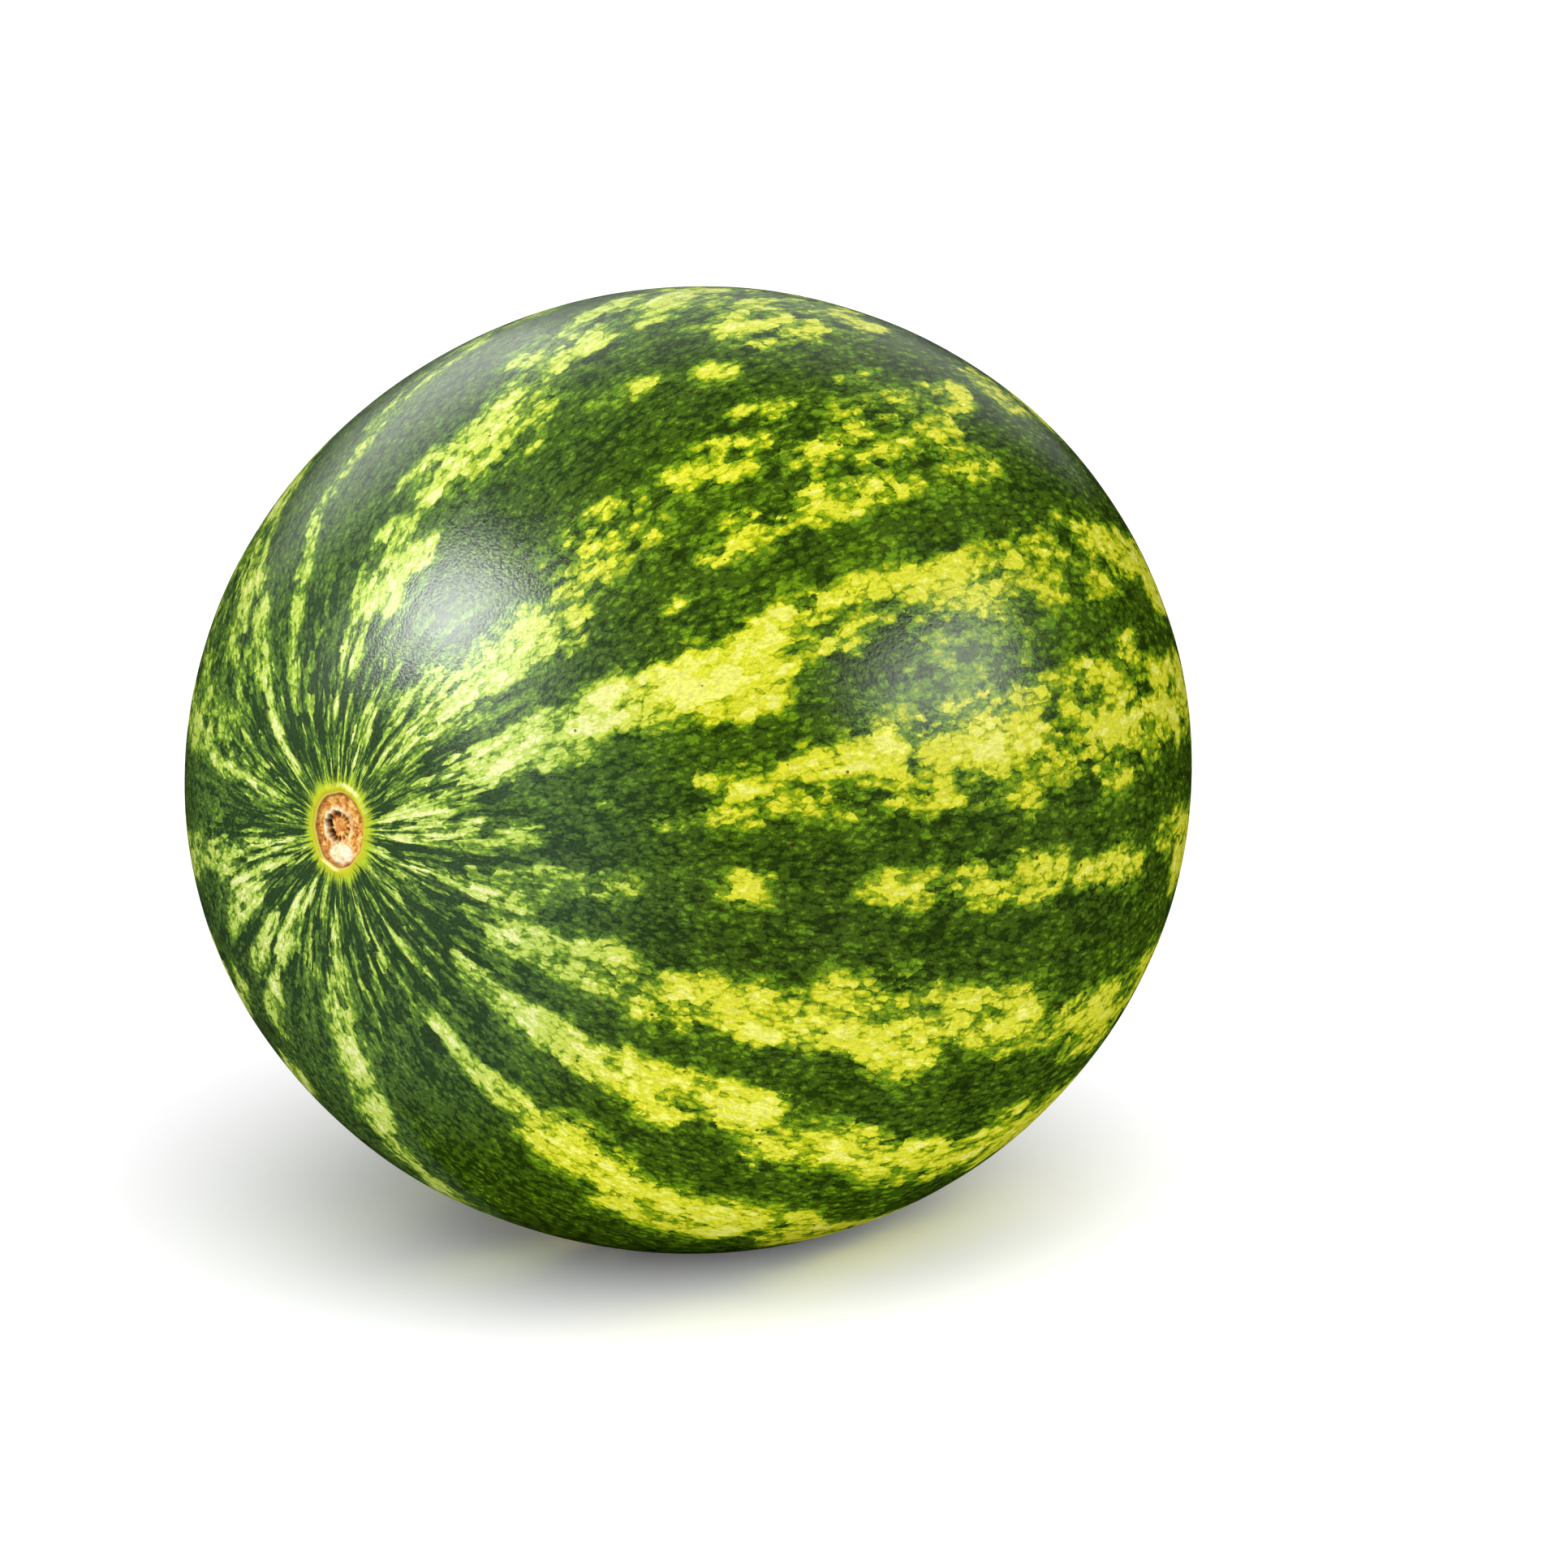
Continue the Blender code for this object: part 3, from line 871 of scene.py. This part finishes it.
def cork_material():
    """Cork that healed over the cut stem: dry, rough and tan, near black in the pits of the ring of
    sap vessels.
    """
    material = bpy.data.materials.new("healed_stem_cork")
    material.use_nodes = True
    tree = material.node_tree
    shader = tree.nodes["Principled BSDF"]
    place = add_node(tree, "Attribute", take="Vector", attribute_name="scar_place")
    marks = add_node(tree, "Attribute", take="Vector", attribute_name="scar_marks")
    marks = add_node(tree, "SeparateXYZ", (marks,)).node.outputs
    share = add_node(tree, "Attribute", take="Fac", attribute_name="scar_share")
    fibre = add_node(
        tree,
        "TexNoise",
        {"Vector": place, "Scale": per_metre(1.9), "Detail": 6.0, "Roughness": 0.78},
        "Fac",
    )
    tan_stops = ((0.36, "3E1802"), (0.42, "A4560C"), (0.50, "DE922C"), (0.59, "F8DA80"))
    tan = add_node(tree, "ValToRGB", (fibre,), "Color", stops=tan_stops)
    pale_stops = ((0.32, "C07A2C"), (0.43, "F5DE9C"), (0.52, "FEF8DA"))
    pale_cork = add_node(tree, "ValToRGB", (fibre,), "Color", stops=pale_stops)
    edge = add_node(tree, "MapRange", (share, 0.88, 0.98, 0.0, 0.75))
    layers = (
        (marks["Z"], linear("D68C4C")),
        (marks["Y"], pale_cork),
        (edge, linear("7C420E")),
        (marks["X"], linear("160C04")),
    )
    colour = tan
    for mask, over in layers:
        laid_over = {"Factor": mask, "A": colour, "B": over}
        colour = add_node(tree, "Mix", laid_over, "Result", data_type="RGBA")
    bump = add_node(tree, "Bump", {"Strength": 0.8, "Distance": 0.0003, "Height": fibre})
    dry = add_node(tree, "MapRange", (fibre, 0.3, 0.7, 0.85, 0.62))
    tree.links.new(colour, shader.inputs["Base Color"])
    tree.links.new(bump, shader.inputs["Normal"])
    tree.links.new(dry, shader.inputs["Roughness"])
    shader.inputs["Specular IOR Level"].default_value = 0.2
    return material


def direction(azimuth, elevation):
    """Unit vector towards an azimuth, 0 at -Y and 90 at +X, and an elevation, in degrees."""
    a, e = math.radians(azimuth), math.radians(elevation)
    return Vector((math.sin(a) * math.cos(e), -math.cos(a) * math.cos(e), math.sin(e)))


# Soft lights on the fruit: (name, azimuth from the camera, elevation, distance, width, height,
# brightness, what it gives), in degrees and metres. Brightness 1 is that of the white floor.
SOFTBOXES = (
    ("key_softbox", -61, 46, 1.2, 0.66, 0.54, 31.0, "gloss"),
    ("key_skirt", -31, 28, 1.2, 0.40, 0.50, 5.4, "gloss"),
    ("left_panel", -84, 28, 1.2, 0.70, 0.60, 1.6, "gloss"),
    ("right_softbox", 75, 23, 1.2, 0.76, 0.44, 8.6, "gloss"),
    ("front_glow", -32, -10, 1.2, 1.38, 0.56, 0.7, "gloss"),
    ("back_bank", -168, 32, 1.2, 2.20, 1.10, 0.56, "gloss"),
    ("upper_left_bank", -150, 31, 1.2, 0.80, 0.56, 1.6, "gloss"),
    ("fill_panel", -50, 62, 1.6, 2.4, 1.6, 2.6, "fill"),
    ("back_fill_panel", 150, 45, 1.6, 2.4, 1.6, 1.0, "fill"),
)

# The wide overhead light on the floor: azimuth from the camera, elevation and spread in degrees.
DIFFUSER_AT, DIFFUSER_SPREAD, DIFFUSER_STRENGTH = (14.0, 52.0), 80.0, 3.9
AIR_STRENGTH = 0.40
FLOOR_RADIUS, FLOOR_GLOW = 14.0, 0.08
# Keeps the floor just clear of the fruit's flat spot.
FLOOR_GAP = 0.0001
# How far right of and above the fruit's middle the camera aims.
CAMERA_RIGHT, CAMERA_UP = 0.0238, -0.0045


class OBJECT_OT_melon_stage(bpy.types.Operator):
    """Set out the pale floor, the soft lights and the camera"""

    bl_idname = "object.melon_stage"
    bl_label = "Stage"
    bl_options = {"REGISTER", "UNDO"}

    def execute(self, context):
        stage = context.scene.melon_stage
        low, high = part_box(NODE)
        middle = (Vector(low) + Vector(high)) / 2.0
        floor = self.lay_floor(stage, low.z)
        self.hang_lights(context, stage, middle, floor)
        self.set_world(context)
        self.place_camera(context, stage, middle)
        context.scene.view_settings.view_transform = "Standard"
        return {"FINISHED"}

    def lay_floor(self, stage, level):
        """A plain disc of matt white paper under the fruit, which glows a little by itself."""
        select_nothing()
        bpy.ops.mesh.primitive_circle_add(
            vertices=96,
            radius=FLOOR_RADIUS,
            fill_type="NGON",
            location=(0.0, 0.0, level - FLOOR_GAP),
        )
        floor = bpy.context.object
        floor.name = floor.data.name = "floor"
        bpy.ops.object.transform_apply(location=True)
        material = bpy.data.materials.new("matt_paper_floor")
        material.use_nodes = True
        shader = material.node_tree.nodes["Principled BSDF"]
        shader.inputs["Base Color"].default_value = linear(stage.floor)
        shader.inputs["Roughness"].default_value = 0.9
        shader.inputs["Specular IOR Level"].default_value = 0.1
        shader.inputs["Emission Color"].default_value = (1.0, 1.0, 1.0, 1.0)
        shader.inputs["Emission Strength"].default_value = FLOOR_GLOW
        floor.data.materials.append(material)
        floor.visible_glossy = False
        return floor

    def light_only(self, lamp, receiver, name):
        """Lets the lamp light that object and no other; it still casts every shadow."""
        lit = bpy.data.collections.get(name) or bpy.data.collections.new(name)
        if receiver.name not in lit.objects:
            lit.objects.link(receiver)
        lamp.light_linking.receiver_collection = lit

    def hang_lights(self, context, stage, middle, floor):
        """The softboxes, each aimed at the spot where it glints, and the floor's own light."""
        camera_side = math.degrees(stage.camera_azimuth)
        towards_camera = direction(camera_side, math.degrees(stage.camera_elevation))
        fruit = bpy.data.objects["rind_with_stem_scar"]
        for name, azimuth, elevation, distance, width, height, brightness, gives in SOFTBOXES:
            away = direction(camera_side + azimuth, elevation)
            data = bpy.data.lights.new(name, "AREA")
            data.shape = "RECTANGLE"
            data.size, data.size_y = width, height
            data.energy = brightness * math.pi * width * height
            lamp = bpy.data.objects.new(name, data)
            glint = (away + towards_camera).normalized() * context.scene.melon_shape.diameter / 2.0
            lamp.location = middle + glint + away * distance
            lamp.rotation_euler = away.to_track_quat("Z", "Y").to_euler()
            lamp.visible_camera = False
            lamp.visible_diffuse = gives == "fill"
            lamp.visible_glossy = gives == "gloss"
            context.scene.collection.objects.link(lamp)
            self.light_only(lamp, fruit, "lit_by_softboxes")
        sun = bpy.data.lights.new("overhead_diffuser", "SUN")
        sun.energy = DIFFUSER_STRENGTH
        sun.angle = math.radians(DIFFUSER_SPREAD)
        lamp = bpy.data.objects.new("overhead_diffuser", sun)
        away = direction(camera_side + DIFFUSER_AT[0], DIFFUSER_AT[1])
        lamp.rotation_euler = away.to_track_quat("Z", "Y").to_euler()
        context.scene.collection.objects.link(lamp)
        self.light_only(lamp, floor, "lit_by_diffuser")

    def set_world(self, context):
        """Even white air, which isn't seen in the gloss."""
        world = bpy.data.worlds.new("studio_air")
        world.use_nodes = True
        background = world.node_tree.nodes["Background"].inputs
        background["Color"].default_value = (1.0, 1.0, 1.0, 1.0)
        background["Strength"].default_value = AIR_STRENGTH
        context.scene.world = world
        world.cycles_visibility.glossy = False

    def place_camera(self, context, stage, middle):
        """Aims past the fruit, so that it stands left of and a little above the middle."""
        azimuth = math.degrees(stage.camera_azimuth)
        back = direction(azimuth, math.degrees(stage.camera_elevation))
        right = direction(azimuth + 90.0, 0.0)
        up = back.cross(right)
        aim = middle + right * CAMERA_RIGHT + up * CAMERA_UP
        data = bpy.data.cameras.new("camera")
        data.lens = stage.lens
        camera = bpy.data.objects.new("camera", data)
        camera.location = aim + back * stage.camera_distance
        camera.rotation_euler = back.to_track_quat("Z", "Y").to_euler()
        context.scene.collection.objects.link(camera)
        context.scene.camera = camera


class VIEW3D_PT_melon(bpy.types.Panel):
    """Lists the melon's pieces and their settings"""

    bl_label = "Whole watermelon"
    bl_idname = "VIEW3D_PT_melon"
    bl_space_type = "VIEW_3D"
    bl_region_type = "UI"
    bl_category = "Melon"

    def draw(self, context):
        for operator in OPERATORS:
            self.layout.operator(operator.bl_idname)
        for group in GROUPS:
            settings = getattr(context.scene, group)
            for name in settings.bl_rna.properties.keys():
                if name not in ("rna_type", "name"):
                    self.layout.prop(settings, name)


GROUPS = {
    "melon_shape": MelonShape,
    "melon_scar": MelonScar,
    "melon_rind": MelonRind,
    "melon_stage": MelonStage,
}
OPERATORS = (OBJECT_OT_melon_rind, OBJECT_OT_melon_stage)


def register():
    for made in (*GROUPS.values(), *OPERATORS, VIEW3D_PT_melon):
        bpy.utils.register_class(made)
    for name, group in GROUPS.items():
        setattr(bpy.types.Scene, name, PointerProperty(type=group))


def unregister():
    for name in GROUPS:
        delattr(bpy.types.Scene, name)
    for made in (VIEW3D_PT_melon, *OPERATORS, *GROUPS.values()):
        bpy.utils.unregister_class(made)


def main():
    register()
    bpy.ops.object.melon_rind()
    bpy.ops.object.melon_stage()
    bpy.context.view_layer.update()


if __name__ == "__main__":
    main()
